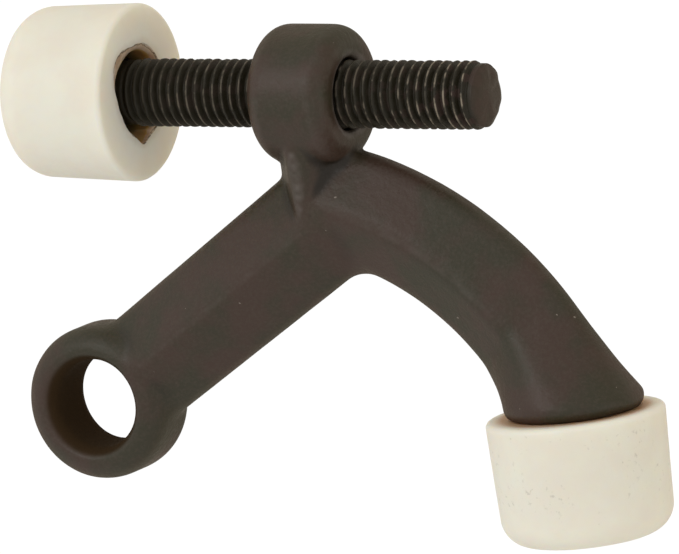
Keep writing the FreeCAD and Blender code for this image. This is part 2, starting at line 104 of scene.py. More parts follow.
def from_axis(points):
    """Distance of each point from the adjusting screw's axis."""
    return np.hypot(points[..., 1] - SCREW_LINE, points[..., 2])


def box_mm(node):
    """Lowest and highest corner of a CAD node's box, in millimetres."""
    low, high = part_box(node)
    return low / MM, high / MM


BUMPER_MOUTH = box_mm("screw_bumper")[1].x
BUMPER_LENGTH = BUMPER_MOUTH - box_mm("screw_bumper")[0].x
BUMPER_RADIUS = box_mm("screw_bumper")[1].z
FOOT_AXIS = Vector(mounts["frame_bumper_face"]["axis"])
FOOT_FACE = Vector(mounts["frame_bumper_face"]["pos_m"]) / MM - FOOT_AXIS * BUMPER_LENGTH


# ---------------------------------------------------------------- helpers for meshes


def smoothstep(low, high, value):
    """Share that goes smoothly from 0 at `low` to 1 at `high`; either may be the larger."""
    share = np.clip((value - low) / (high - low), 0.0, 1.0)
    return share * share * (3 - 2 * share)


def new_piece(name, points, faces, node):
    """Smooth-shaded mesh object that stands for a CAD node and rides on the node's body."""
    mesh = bpy.data.meshes.new(name)
    corners = (np.asarray(points, float) * MM).tolist()
    mesh.from_pydata(corners, [], [list(map(int, face)) for face in faces])
    mesh.polygons.foreach_set("use_smooth", [True] * len(mesh.polygons))
    mesh.update()
    piece = bpy.data.objects.new(name, mesh)
    bpy.context.scene.collection.objects.link(piece)
    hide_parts(node)
    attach(piece, body_of_node[node])
    return piece


def move_vertices(piece, points):
    """Puts the vertices of a piece at new places, given in millimetres."""
    piece.data.vertices.foreach_set("co", (points * MM).astype(np.float32).ravel())
    piece.data.update()


def add_attribute(piece, name, values):
    """Stores a number at each vertex, under a name that the materials ask for."""
    attribute = piece.data.attributes.new(name, "FLOAT", "POINT")
    attribute.data.foreach_set("value", np.asarray(values, np.float32))


def vertex_normals(piece):
    """Unit normal at each vertex."""
    flat = np.empty(len(piece.data.vertices) * 3, np.float32)
    piece.data.vertices.foreach_get("normal", flat)
    return flat.reshape(-1, 3)


def mesh_edges(piece):
    """Numbers of the two vertices of each edge."""
    flat = np.empty(len(piece.data.edges) * 2, np.int32)
    piece.data.edges.foreach_get("vertices", flat)
    return flat.reshape(-1, 2)


def relaxed(points, edges, rounds):
    """Points pulled half-way to the mean of their neighbours, a number of times."""
    count = len(points)
    ends = np.concatenate([edges[:, 0], edges[:, 1]])
    others = np.concatenate([edges[:, 1], edges[:, 0]])
    neighbours = np.bincount(ends, minlength=count)[:, None]
    points = points.astype(float)
    for _ in range(rounds):
        sums = np.stack([np.bincount(ends, points[others, k], count) for k in range(3)], axis=1)
        points = (points + sums / neighbours) / 2
    return points


def ripple(points, size, seed):
    """Smooth noise in -1..1 at each point, with bumps about `size` across in the points' unit."""
    shift = Vector((seed, 2 * seed, 3 * seed))
    return np.array([noise.noise(Vector(point) / size + shift) for point in points])


def rings_to_mesh(rings, first_pole, last_pole):
    """Points and faces of a tube of rings, closed by one point at each end."""
    count, segments = rings.shape[:2]
    points = np.concatenate([rings.reshape(-1, 3), [first_pole], [last_pole]])
    faces = []
    for ring in range(count - 1):
        start, after = ring * segments, (ring + 1) * segments
        for here in range(segments):
            following = (here + 1) % segments
            faces.append((start + here, start + following, after + following, after + here))
    first, last = count * segments, count * segments + 1
    top = (count - 1) * segments
    for here in range(segments):
        following = (here + 1) % segments
        faces.append((first, following, here))
        faces.append((last, top + here, top + following))
    return points, faces


# ---------------------------------------------------------------- casting shape

VOXEL = 0.2  # mm, step of the grid that the casting's surface is softened on
TIGHT_ROUND = 0.35  # mm, smallest radius of the casting's hollow corners
WIDE_ROUND = 3.4  # mm, the same in the crotch under the arm and at the foot
CAST_SOFTNESS = 0.18  # mm, how far the whole surface is softened
BELL_REACH = 3  # radii of the softening after which its weight is next to nothing
BAND = 3.8  # mm of signed distance kept on both sides of the surface
BOSS_HOLE_RADIUS = 3.24  # mm, the boss's thread at its roots
BOSS_MOUTH = 0.9  # mm, rounding of the boss's mouths
PIN_MOUTH = 1.3  # mm, rounding of the eye's mouths
BORE_FILL = 0.25  # mm of finish that the eye's bore has lost in radius
SHARP_CORNER = (28.9, 23.8)  # mm, where the arm's outer edge meets the boss
SHARP_REACH = (4, 2)  # mm round that corner, where it begins to be spared and is left as it is
CROTCH = (27.6, 12.1)  # mm, where leg and arm meet underneath
CROTCH_REACH = (7, 4)  # mm round the crotch, where the wide rounding begins and is full
FOOT_REACH = (14, 10)  # mm round the foot's face, the same
GRID_ROUNDS = 2  # smoothing rounds that take the grid's steps off the surface
RIPPLE_SIZE = 3.2  # mm, width of the casting's slight waves
RIPPLE_HEIGHT = 0.02  # mm
RIPPLE_SEED = 1.7
BORE_CALM = (0.3, 1.2)  # mm outside the bores, where the waves begin and are full
RIDGE_ROUNDS = 7  # smoothing rounds whose loss of height marks the ridges and creases
HOLLOW_ROUNDS = 72  # further rounds that mark the wide hollows
FOOT_SHELTER = (13, 8)  # mm from the foot's face, where the ridge marks fade out and are gone: rubbing with its painted highlight, and painted crease shade
MOUTH_SHELTER = (2.4, 1.2)  # mm outside the eye's bore, the same


def grid_frame():
    """Lowest grid index and grid shape that hold the casting and its band."""
    low, high = box_mm("casting")
    first = np.floor((np.array(low) - BAND) / VOXEL).astype(int)
    last = np.ceil((np.array(high) + BAND) / VOXEL).astype(int)
    return first, tuple(last - first + 1)


def level_set(points, triangles=None, quads=None):
    """Signed distance grid round a closed surface of triangles or of quads."""
    transform = openvdb.createLinearTransform(voxelSize=VOXEL)
    options = {"transform": transform, "halfWidth": BAND / VOXEL}
    if triangles is not None:
        options["triangles"] = triangles
    if quads is not None:
        options["quads"] = quads
    return openvdb.FloatGrid.createLevelSetFromPolygons(points, **options)


def as_array(grid, first, shape):
    """Values of a grid, from the index `first` on."""
    field = np.empty(shape, np.float32)
    grid.copyToArray(field, ijk=tuple(int(i) for i in first))
    return field


def as_grid(field, first):
    """Grid whose values start at the index `first`."""
    grid = openvdb.FloatGrid(BAND)
    grid.copyFromArray(field, ijk=tuple(int(i) for i in first))
    grid.transform = openvdb.createLinearTransform(voxelSize=VOXEL)
    grid.gridClass = openvdb.GridClass.LEVEL_SET
    return grid


def blurred(field, radius):
    """Field averaged with a bell-shaped weight along each axis in turn."""
    reach = int(math.ceil(BELL_REACH * radius / VOXEL))
    offsets = np.arange(-reach, reach + 1)
    weights = np.exp(-0.5 * (offsets * VOXEL / radius) ** 2)
    weights /= weights.sum()
    for axis in range(3):
        padded = np.pad(field, [(reach, reach) if k == axis else (0, 0) for k in range(3)], mode="edge")
        length = field.shape[axis]
        total = np.zeros_like(field)
        for offset, weight in zip(offsets, weights):
            start = reach + offset
            total += weight * np.take(padded, range(start, start + length), axis=axis)
        field = total
    return field


def smooth_max(a, b, width):
    """Larger of two fields, rounded where they are within `width` of each other."""
    near = np.clip(width - np.abs(a - b), 0.0, None) / width
    return np.maximum(a, b) + near * near * width / 4


def hollows_rounded(field, first, radius):
    """Field whose hollow corners are filled up to a radius: grown by it, then shrunk again."""
    points, quads = as_grid(field, first).convertToQuads(isovalue=radius)
    return as_array(level_set(points, quads=quads), first, field.shape) + radius


def cylinder(around, radius, along, half_length):
    """Distance to a cylinder from the distances around and along its axis."""
    return np.maximum(around - radius, np.abs(along) - half_length)


def casting_field():
    """Signed distance to the softened casting: negative inside."""
    first, shape = grid_frame()
    points = node_points("casting")
    field = as_array(level_set(points, triangles=node_triangles("casting")), first, shape)
    axes = [(np.arange(shape[k]) + first[k]) * VOXEL for k in range(3)]
    x, y, z = np.meshgrid(*axes, indexing="ij", sparse=True)

    around_screw = np.hypot(y - SCREW_LINE, z)
    mouth_points = points[from_axis(points) < BOSS_HOLE_RADIUS + BOSS_MOUTH]
    boss_low, boss_high = mouth_points[:, 0].min(), mouth_points[:, 0].max()
    boss_middle, boss_half = (boss_low + boss_high) / 2, (boss_high - boss_low) / 2
    boss_plug = cylinder(around_screw, BOSS_HOLE_RADIUS + BOSS_MOUTH, x - boss_middle, boss_half)
    around_pin = np.hypot(x, y)
    eye_plug = cylinder(around_pin, PIN_RADIUS + PIN_MOUTH / 2, z, EYE_HALF_LENGTH)
    filled = np.minimum(np.minimum(field, boss_plug), eye_plug)

    tight = np.minimum(hollows_rounded(filled, first, TIGHT_ROUND), filled)
    wide = np.minimum(hollows_rounded(filled, first, WIDE_ROUND), tight)
    sharp = smoothstep(*SHARP_REACH, np.hypot(x - SHARP_CORNER[0], y - SHARP_CORNER[1]))
    in_crotch = smoothstep(*CROTCH_REACH, np.hypot(x - CROTCH[0], y - CROTCH[1]))
    at_foot = smoothstep(*FOOT_REACH, np.hypot(x - FOOT_FACE.x, y - FOOT_FACE.y))
    shaped = tight + (wide - tight) * np.maximum(in_crotch, at_foot)
    shaped = shaped + (filled - shaped) * sharp
    softened = blurred(shaped, CAST_SOFTNESS)

    past_foot = (x - FOOT_FACE.x) * FOOT_AXIS.x + (y - FOOT_FACE.y) * FOOT_AXIS.y
    beside_foot = (x - FOOT_FACE.x) * FOOT_AXIS.y - (y - FOOT_FACE.y) * FOOT_AXIS.x
    near_foot = np.hypot(beside_foot, z) < BUMPER_RADIUS + BAND
    cut = np.where(near_foot, past_foot, -BAND)
    softened = smooth_max(softened, cut, VOXEL)
    peg = np.where(near_foot & (past_foot > -VOXEL), field, BAND)
    softened = np.minimum(softened, peg)

    softened = smooth_max(softened, PIN_RADIUS - BORE_FILL - around_pin, PIN_MOUTH)
    softened = smooth_max(softened, BOSS_HOLE_RADIUS - around_screw, BOSS_MOUTH)
    return softened.astype(np.float32), first


def casting_piece():
    """Softened casting with slight waves, marked with its bore, its ridges and its hollows."""
    field, first = casting_field()
    points, quads = as_grid(field, first).convertToQuads(isovalue=0.0)
    quads = quads[:, ::-1]
    piece = new_piece("cast_body", points, quads, "casting")
    edges = mesh_edges(piece)
    points = relaxed(points, edges, GRID_ROUNDS)
    normals = vertex_normals(piece)
    waves = ripple(points, RIPPLE_SIZE, RIPPLE_SEED) * RIPPLE_HEIGHT
    around_pin = np.hypot(points[:, 0], points[:, 1])
    off_bores = np.minimum(around_pin - PIN_RADIUS, from_axis(points) - BOSS_HOLE_RADIUS)
    waves *= smoothstep(*BORE_CALM, off_bores)
    points = points + normals * waves[:, None]
    move_vertices(piece, points)
    add_attribute(piece, "bore", smoothstep(PIN_RADIUS + PIN_MOUTH / 2, PIN_RADIUS, around_pin))
    smoother = relaxed(points, edges, RIDGE_ROUNDS)
    from_foot = np.linalg.norm(points - np.array(FOOT_FACE), axis=1)
    at_foot = smoothstep(*FOOT_SHELTER, from_foot)
    at_mouth = smoothstep(*MOUTH_SHELTER, around_pin - PIN_RADIUS)
    normals = vertex_normals(piece)
    ridge = ((points - smoother) * normals).sum(axis=1)
    add_attribute(piece, "ridge", ridge * (1 - np.maximum(at_foot, at_mouth)))
    smoothest = relaxed(smoother, edges, HOLLOW_ROUNDS)
    add_attribute(piece, "hollow", ((smoothest - points) * normals).sum(axis=1))
    return piece


# ---------------------------------------------------------------- adjusting screw shape

INCH = 25.4  # mm
THREADS_PER_INCH = 28
PITCH = INCH / THREADS_PER_INCH
NOMINAL_RADIUS = INCH / 8
FLANK_ANGLE = 30  # degrees
CREST_FLAT = PITCH / 8
THREAD_START = 5.95  # mm along X, where the first root crosses the screw's underside
START_TURN = 0.25  # of a turn, from the underside (-Z) to the +Y side
CREST_RADIUS = 3.12  # mm, worn crests
ROOT_RADIUS = 2.6  # mm
NECK_RADIUS = 2.95  # mm
HEAD_DEPTH = 3.08  # mm from the bumper's mouth to the underside of the head
HEAD_CHAMFER = 0.8  # mm
TIP_PLAIN_RADIUS = 2.88  # mm, short plain stretch behind the tip's chamfer
TIP_PLAIN = 0.75  # mm, its length
TIP_CONE = 0.29  # mm, length of the chamfer
TIP_STEP = 0.03  # mm in radius where the chamfer begins
TIP_FLAT_RADIUS = 2.1  # mm
TIP_DENTS = 0.22  # mm, depth of the dents in the tip
DENT_SEED = 2.3
DENT_SIZE = 0.9  # mm, width of dents and worn-down places
CHIP_DEPTH = 0.07  # mm, depth of the worn-down places along the crests
CHIP_SEED = 5.1
CHIP_RADIUS = 3  # mm from the axis, where their pattern is taken
CHIP_RANGE = (0.1, 0.6)  # values of the pattern where one begins and is full
CHIP_ABOVE_ROOT = 0.2  # mm, nothing is worn down below this
RING_STEP = PITCH / 16
SCREW_SEGMENTS = 96


def thread_radius(x, angle):
    """Radius of the screw at a place along it and an angle from +Y towards +Z."""
    phase = (x - THREAD_START) / PITCH - (angle / FULL_TURN + START_TURN)
    off_crest = np.abs(phase - np.floor(phase) - 0.5) * PITCH
    slope = math.tan(math.radians(FLANK_ANGLE))
    radius = NOMINAL_RADIUS - (off_crest - CREST_FLAT / 2) / slope
    return np.clip(radius, ROOT_RADIUS, CREST_RADIUS)


def chipped(x, angles, radius):
    """Radius with small worn-down places along the crests."""
    along = np.full(len(angles), x)
    around = np.stack([along, CHIP_RADIUS * np.cos(angles), CHIP_RADIUS * np.sin(angles)], axis=1)
    worn = smoothstep(*CHIP_RANGE, ripple(around, DENT_SIZE, CHIP_SEED))
    on_crest = smoothstep(ROOT_RADIUS + CHIP_ABOVE_ROOT, CREST_RADIUS, radius)
    return radius - CHIP_DEPTH * worn * on_crest


def screw_piece():
    """Threaded screw with its neck and head, as rings round its axis from the head to the tip."""
    low, high = box_mm("adjusting_screw")
    tip, head_end = high.x, low.x
    head_radius = high.z
    angles = np.arange(SCREW_SEGMENTS) * FULL_TURN / SCREW_SEGMENTS
    head_start = BUMPER_MOUTH - HEAD_DEPTH
    outline = [
        (head_end, head_radius - HEAD_CHAMFER),
        (head_end + HEAD_CHAMFER, head_radius),
        (head_start, head_radius),
        (head_start, NECK_RADIUS),
        (THREAD_START - PITCH, NECK_RADIUS),
    ]
    full_ring = np.ones(SCREW_SEGMENTS)
    rings = [(x, radius * full_ring) for x, radius in outline]
    cone_start = tip - TIP_CONE
    plain_start = cone_start - TIP_PLAIN
    for x in np.arange(THREAD_START - PITCH + RING_STEP, cone_start, RING_STEP):
        run_in = smoothstep(THREAD_START - PITCH, THREAD_START + PITCH / 2, x)
        run_out = smoothstep(plain_start + PITCH / 4, plain_start - PITCH / 4, x)
        radius = chipped(x, angles, thread_radius(x, angles))
        radius = NECK_RADIUS + (radius - NECK_RADIUS) * run_in
        radius = TIP_PLAIN_RADIUS + (radius - TIP_PLAIN_RADIUS) * run_out
        rings.append((x, radius))
    rings.append((cone_start, (TIP_PLAIN_RADIUS - TIP_STEP) * full_ring))
    rings.append((tip, TIP_FLAT_RADIUS * full_ring))
    table = np.empty((len(rings), SCREW_SEGMENTS, 3))
    for number, (along, radius) in enumerate(rings):
        table[number, :, 0] = along
        table[number, :, 1] = SCREW_LINE + radius * np.cos(angles)
        table[number, :, 2] = radius * np.sin(angles)
    points, faces = rings_to_mesh(table, (head_end, SCREW_LINE, 0), (tip, SCREW_LINE, 0))
    at_tip = smoothstep(plain_start, cone_start, points[:, 0])
    points[:, 0] -= TIP_DENTS * at_tip * (1 + ripple(points, DENT_SIZE, DENT_SEED)) / 2
    piece = new_piece("threaded_rod", points, faces, "adjusting_screw")
    add_attribute(piece, "height", from_axis(points))
    add_attribute(piece, "from_tip", tip - points[:, 0])
    return piece


# ---------------------------------------------------------------- bumper shapes

BUMPER_SEGMENTS = 192
HOLE_RADIUS = 3.85  # mm, the bumper's hole behind its lip
LIP_RADIUS = 4.25  # mm, the worn lip's outer edge on the mouth face
LIP_DEPTH = 0.55  # mm that the lip slopes into the hole
LIP_STEP = 0.14  # mm, depth of a small step at the lip's outer edge, and the lip's least width
STEP_LEAN = 0.04  # mm that the step widens towards the mouth face
POCKET_RADIUS = 5.3  # mm
POCKET_START = 3.0  # mm behind the mouth face
POCKET_END = 7.0  # mm
POLE_RADIUS = 0.4  # mm, last ring round the middle of a flat end
MOUTH_ROUND = 0.5  # mm
END_ROUND = 2.66  # mm
DRAFT = 0.30  # mm that the striking end is smaller in radius
TEAR_LENGTH = 2.6  # mm that the tear runs into the hole
TEAR_STEP = 0.3  # mm that the hole opens at once where the tear begins
RAGGED = 0.03  # mm, unevenness of the hole's edge
RAGGED_SIZE = 0.16  # its width, as a share of the hole's radius
LIP_COUNT = 0.9  # mm that the whole slope of the lip counts for in the distance from its edge
HOLE_COUNT = 1.0  # mm that are added to the depth in the hole for the same distance
RUBBER_WAVE_SIZE = 4.0  # mm, width of the skin's slight waves
RUBBER_WAVE = 0.02  # mm, half their depth; all of it goes inwards
# numbers of rings, for each stretch of a bumper's outline
HOLE_RINGS, LIP_RINGS, FACE_RINGS = 10, 8, 16
MOUTH_RINGS, SIDE_RINGS, CORNER_RINGS, END_RINGS = 8, 30, 18, 8
FACE_CROWDING = 1.5  # power that crowds the mouth face's rings towards the lip
# worn places round the screw bumper's hole, each with its middle in degrees from +Y towards +Z, its
# half width in degrees and the mm that it adds to the radius
LIP_WEAR = ((52, 44, 1.35), (85, 40, 0.30), (0, 60, 0.25), (-150, 30, -0.25), (130, 30, -0.13))
HOLE_WEAR = ((75, 50, 0.30), (-35, 40, -0.20))
TEAR = ((176, 20, 0.50),)


def arc(centre, radius, first, last, steps):
    """Points of an arc in a bumper's (depth, radius) plane; angles in degrees."""
    angles = np.radians(np.linspace(first, last, steps))
    return [(centre[0] + radius * math.cos(a), centre[1] + radius * math.sin(a)) for a in angles]


def straight(here, there, steps):
    """Points after `here` on the line to `there`."""
    shares = np.linspace(0, 1, steps + 1)[1:]
    return [(here[0] + (there[0] - here[0]) * s, here[1] + (there[1] - here[1]) * s) for s in shares]


def bumper_outside():
    """(depth, radius) points from the mouth's rim to the middle of the striking end."""
    draft_angle = math.degrees(math.atan2(DRAFT, BUMPER_LENGTH))
    rim = (MOUTH_ROUND, BUMPER_RADIUS - MOUTH_ROUND)
    end_radius = BUMPER_RADIUS - DRAFT
    end = (BUMPER_LENGTH - END_ROUND, end_radius - END_ROUND)
    outline = arc(rim, MOUTH_ROUND, 180, 90 - draft_angle, MOUTH_RINGS)
    corner = arc(end, END_ROUND, 90 - draft_angle, 0, CORNER_RINGS)
    outline += straight(outline[-1], corner[0], SIDE_RINGS)
    outline += corner[1:]
    outline += straight(outline[-1], (BUMPER_LENGTH, POLE_RADIUS), END_RINGS)
    return outline


def wear(angles, places):
    """Sum of smooth bumps (centre, half width, height) around a circle, angles in radians."""
    total = np.zeros(len(angles))
    for centre, width, height in places:
        off = np.degrees(np.angle(np.exp(1j * (angles - math.radians(centre)))))
        total += height * smoothstep(width, 0, np.abs(off))
    return total


def hole_rings(angles, torn, seed):
    """(depth, radius, mm beyond the lip's edge) rings from the pocket's floor to the mouth's rim."""
    count = len(angles)
    circle = np.stack([np.cos(angles), np.sin(angles), np.zeros(count)], axis=1)
    ragged = RAGGED * ripple(circle, RAGGED_SIZE, seed)
    lip = LIP_RADIUS + ragged
    hole = HOLE_RADIUS + ragged / 2
    tear = np.zeros(count)
    if torn:
        tear = wear(angles, TEAR)
        lip = lip + wear(angles, LIP_WEAR)
        hole = hole + wear(angles, HOLE_WEAR)
    hole = np.minimum(hole, lip - LIP_STEP)
    torn_lip = np.maximum(lip, LIP_RADIUS + tear)
    rings = [(POCKET_END, np.full(count, radius), -POCKET_END) for radius in (POLE_RADIUS, POCKET_RADIUS)]
    rings.append((POCKET_START, np.full(count, POCKET_RADIUS), -POCKET_END))
    for depth in np.linspace(POCKET_START, LIP_DEPTH, HOLE_RINGS):
        kept = smoothstep(TEAR_LENGTH, LIP_DEPTH, depth)
        torn_open = HOLE_RADIUS + (tear + TEAR_STEP) * (tear > 0) * kept
        rings.append((depth, np.maximum(hole, torn_open), -HOLE_COUNT - depth))
    hole = rings[-1][1]
    edge = torn_lip - STEP_LEAN
    for share in np.linspace(0, 1, LIP_RINGS)[1:]:
        depth = LIP_STEP + (LIP_DEPTH - LIP_STEP) * (1 - share) ** 2
        rings.append((depth, hole + (edge - hole) * share, (share - 1) * LIP_COUNT))
    rim = BUMPER_RADIUS - MOUTH_ROUND
    for share in np.linspace(0, 1, FACE_RINGS)[:-1] ** FACE_CROWDING:
        radius = torn_lip + (rim - torn_lip) * share
        rings.append((0.0, radius, (rim - LIP_RADIUS) * share))
    return rings


def bumper_piece(name, node, mouth, axis, torn, seed):
    """Rubber cap whose mouth is centred at `mouth` and whose body goes from there along `axis`."""
    angles = np.arange(BUMPER_SEGMENTS) * FULL_TURN / BUMPER_SEGMENTS
    along, over = np.array(axis), np.array((0, 0, 1))
    side = np.array((0, 1, 0)) if abs(axis.x) > abs(axis.y) else np.array((-axis.y, axis.x, 0))
    rings = hole_rings(angles, torn, seed)
    beyond = BUMPER_RADIUS
    rings += [(depth, np.full(BUMPER_SEGMENTS, radius), beyond) for depth, radius in bumper_outside()]
    table = np.empty((len(rings), BUMPER_SEGMENTS, 3))
    for number, (depth, radius, _) in enumerate(rings):
        across = np.outer(radius * np.cos(angles), side) + np.outer(radius * np.sin(angles), over)
        table[number] = np.array(mouth) + along * depth + across
    pocket_floor = mouth + axis * POCKET_END
    striking_end = mouth + axis * BUMPER_LENGTH
    points, faces = rings_to_mesh(table, tuple(pocket_floor), tuple(striking_end))
    if np.dot(np.cross(along, side), over) < 0:
        faces = [face[::-1] for face in faces]
    piece = new_piece(name, points, faces, node)
    from_lip = np.repeat([ring[2] for ring in rings], BUMPER_SEGMENTS)
    add_attribute(piece, "from_lip", np.concatenate([from_lip, [-POCKET_END, beyond]]))
    waves = RUBBER_WAVE * (ripple(points, RUBBER_WAVE_SIZE, seed) - 1)
    move_vertices(piece, points + vertex_normals(piece) * waves[:, None])
    return piece


# ---------------------------------------------------------------- helpers for materials

MIX_SHARE, MIX_FIRST, MIX_SECOND = 0, 6, 7  # inputs of a mix of colours
MIX_COLOUR = 2  # its output
WHITE = (1, 1, 1, 1)


def new_material(name):
    """New material with its node tree and its main shader."""
    material = bpy.data.materials.new(name)
    material.use_nodes = True
    tree = material.node_tree
    shader = tree.nodes["Principled BSDF"]
    return material, tree, shader


def put(tree, kind, links=None, **settings):
    """Adds a node; `links` maps its input names to sockets or plain values."""
    node = tree.nodes.new(kind)
    for key, value in settings.items():
        setattr(node, key, value)
    for key, value in (links or {}).items():
        if isinstance(value, bpy.types.NodeSocket):
            tree.links.new(value, node.inputs[key])
        else:
            node.inputs[key].default_value = value
    return node


def millimetres(tree):
    """Object coordinates counted in millimetres."""
    coordinates = put(tree, "ShaderNodeTexCoord").outputs["Object"]
    links = {0: coordinates, "Scale": 1 / MM}
    return put(tree, "ShaderNodeVectorMath", links, operation="SCALE").outputs[0]


def noise_at(tree, place, size, detail=3.0, roughness=0.55):
    """Noise in 0..1 with features about `size` millimetres across."""
    links = {"Vector": place, "Scale": 1 / size, "Detail": detail, "Roughness": roughness}
    return put(tree, "ShaderNodeTexNoise", links).outputs["Fac"]


def ramp(tree, value, low, high, to_low=0.0, to_high=1.0):
    """Value carried smoothly from low..high over to to_low..to_high, and held outside it."""
    links = {"Value": value, "From Min": low, "From Max": high, "To Min": to_low, "To Max": to_high}
    return put(tree, "ShaderNodeMapRange", links, interpolation_type="SMOOTHSTEP").outputs["Result"]


def attribute(tree, name):
    """Number stored at each vertex under a name."""
    return put(tree, "ShaderNodeAttribute", attribute_name=name).outputs["Fac"]


def mixed(tree, share, first, second):
    """Colour between two colours, each a (red, green, blue) or a socket, at a share's socket."""
    links = {MIX_SHARE: share}
    for index, colour in ((MIX_FIRST, first), (MIX_SECOND, second)):
        links[index] = (*colour, 1.0) if isinstance(colour, tuple) else colour
    return put(tree, "ShaderNodeMix", links, data_type="RGBA").outputs[MIX_COLOUR]


def calc(tree, operation, first, second):
    return put(tree, "ShaderNodeMath", {0: first, 1: second}, operation=operation).outputs[0]


def bumps(tree, height, distance, normal=None):
    """Normal of a surface raised by `height` times a distance in millimetres."""
    links = {"Height": height, "Distance": distance * MM, "Strength": 1.0}
    if normal is not None:
        links["Normal"] = normal
    return put(tree, "ShaderNodeBump", links).outputs["Normal"]


# Below, a size is the width of a pattern's features in mm, a height is in mm too, and a range is
# (where it begins, where it is full) or those two with the weakest and the strongest effect.

# ---------------------------------------------------------------- bronze of the casting

BRONZE_BROWN = (0.042, 0.0235, 0.0160)
BRONZE_OLIVE = (0.027, 0.0240, 0.0120)
BRONZE_GRAIN = (0.056, 0.042, 0.030)
BRONZE_RUBBED_HIGHLIGHT = (0.138, 0.118, 0.108)
BRONZE_SHADED = (0.009, 0.006, 0.0025)
BRONZE_BORE_SHADE = (0.034, 0.020, 0.009)
BRONZE_SPECK = (0.30, 0.26, 0.22)

BRONZE_CLOUD_SIZE = 6.0
BRONZE_CLOUD_RANGE = (0.38, 0.62)
BRONZE_GRAIN_SIZE = 0.30
BRONZE_GRAIN_RANGE = (0.40, 0.72, 0.0, 0.45)
BRONZE_GRAIN_HEIGHT = 0.030
BRONZE_PATCH_SIZE = 1.3
BRONZE_PATCH_RANGE = (0.3, 0.7, 0.35, 1.0)
BRONZE_SPECK_SIZE = 0.5
BRONZE_SPECK_RANGE = (0.885, 0.895, 0.0, 0.5)
ORANGE_PEEL_SIZE = 0.9
ORANGE_PEEL_HEIGHT = 0.055
RUBBED_HIGHLIGHT_RANGE = (0.012, 0.038)  # mm that a ridge stands out
CREASE_RANGE = (-0.006, -0.03, 0.0, 0.8)  # mm, the same below zero
HOLLOW_RANGE = (0.02, 0.18, 0.0, 0.9)  # mm, depth of a wide hollow
EDGE_ON_BLEND = 0.5
EDGE_ON_RANGE = (0.35, 0.85, 0.0, 0.75)  # from a surface seen squarely (0) to one seen edge-on (1)
BRONZE_SHINE = (0.0, 1.0, 0.30, 0.05)  # from a plain surface (0) to a dull one (1)
BRONZE_ROUGHNESS = (0.3, 0.7, 0.38, 0.50)
BORE_ROUGHNESS = 0.9


def bronze_material():
    """Oil-rubbed bronze: satin dark brown, mottled, rubbed lighter and warmer on ridges with a painted highlight
    there, and with painted shade in hollows, creases and the bore.
    """
    material, tree, shader = new_material("oil_rubbed_bronze")
    place = millimetres(tree)
    clouds = noise_at(tree, place, BRONZE_CLOUD_SIZE, detail=4)
    grain = noise_at(tree, place, BRONZE_GRAIN_SIZE, detail=5, roughness=0.6)
    body = mixed(tree, ramp(tree, clouds, *BRONZE_CLOUD_RANGE), BRONZE_BROWN, BRONZE_OLIVE)
    body = mixed(tree, ramp(tree, grain, *BRONZE_GRAIN_RANGE), body, BRONZE_GRAIN)
    patches = ramp(tree, noise_at(tree, place, BRONZE_PATCH_SIZE), *BRONZE_PATCH_RANGE)
    ridge = attribute(tree, "ridge")
    # ridges take a lighter colour: partly real rubbing, partly a painted highlight
    worn = calc(tree, "MULTIPLY", ramp(tree, ridge, *RUBBED_HIGHLIGHT_RANGE), patches)
    body = mixed(tree, worn, body, BRONZE_RUBBED_HIGHLIGHT)
    # painted shade: wide hollows and tight creases are darkened towards BRONZE_SHADED
    hollow = ramp(tree, attribute(tree, "hollow"), *HOLLOW_RANGE)
    crease = ramp(tree, ridge, *CREASE_RANGE)
    body = mixed(tree, calc(tree, "MAXIMUM", hollow, crease), body, BRONZE_SHADED)
    bore = attribute(tree, "bore")
    # painted shade: the bore's inside is given a darker brown
    body = mixed(tree, bore, body, BRONZE_BORE_SHADE)
    speck = ramp(tree, noise_at(tree, place, BRONZE_SPECK_SIZE, detail=0), *BRONZE_SPECK_RANGE)
    body = mixed(tree, speck, body, BRONZE_SPECK)
    tree.links.new(body, shader.inputs["Base Color"])
    edge_on = put(tree, "ShaderNodeLayerWeight", {"Blend": EDGE_ON_BLEND}).outputs["Facing"]
    dull = calc(tree, "MAXIMUM", bore, ramp(tree, edge_on, *EDGE_ON_RANGE))
    tree.links.new(ramp(tree, dull, *BRONZE_SHINE), shader.inputs["Specular IOR Level"])
    satin = ramp(tree, grain, *BRONZE_ROUGHNESS)
    rough = calc(tree, "MAXIMUM", satin, calc(tree, "MULTIPLY", bore, BORE_ROUGHNESS))
    tree.links.new(rough, shader.inputs["Roughness"])
    orange_peel = bumps(tree, noise_at(tree, place, ORANGE_PEEL_SIZE, detail=2), ORANGE_PEEL_HEIGHT)
    fine = bumps(tree, grain, BRONZE_GRAIN_HEIGHT, normal=orange_peel)
    tree.links.new(fine, shader.inputs["Normal"])
    return material


# ---------------------------------------------------------------- black of the screw

SCREW_BLACK = (0.0140, 0.0115, 0.0055)
SCREW_RUSTY = (0.032, 0.019, 0.014)
SCREW_BRIGHT = (0.20, 0.168, 0.125)
SCREW_TIP = (0.050, 0.034, 0.025)

SCREW_PATCH_SIZE = 1.2
SCREW_PATCH_RANGE = (0.40, 0.60, 0.12, 1.0)
RUSTY_RANGE = (0.5, 0.6)
SCRATCH_SIZE = 0.22
SCRATCH_HEIGHT = 0.03
CREST_RANGE = (3.095, CREST_RADIUS)  # mm from the screw's axis
TIP_END_RANGE = (12.0, 1.0, 0.35, 1.0)  # mm from the tip
BUMPER_SHADE_RANGE = (35.0, 30.0, 0.15, 1.0)  # mm from the tip; towards the bumper the rubbed crests and the rust are dimmed as painted shade
TIP_FACE_RANGE = (0.9, 0.2, 0.0, 0.6)  # mm from the tip
SCREW_SHINE = 0.22
SCREW_ROUGHNESS = (0.3, 0.7, 0.42, 0.60)


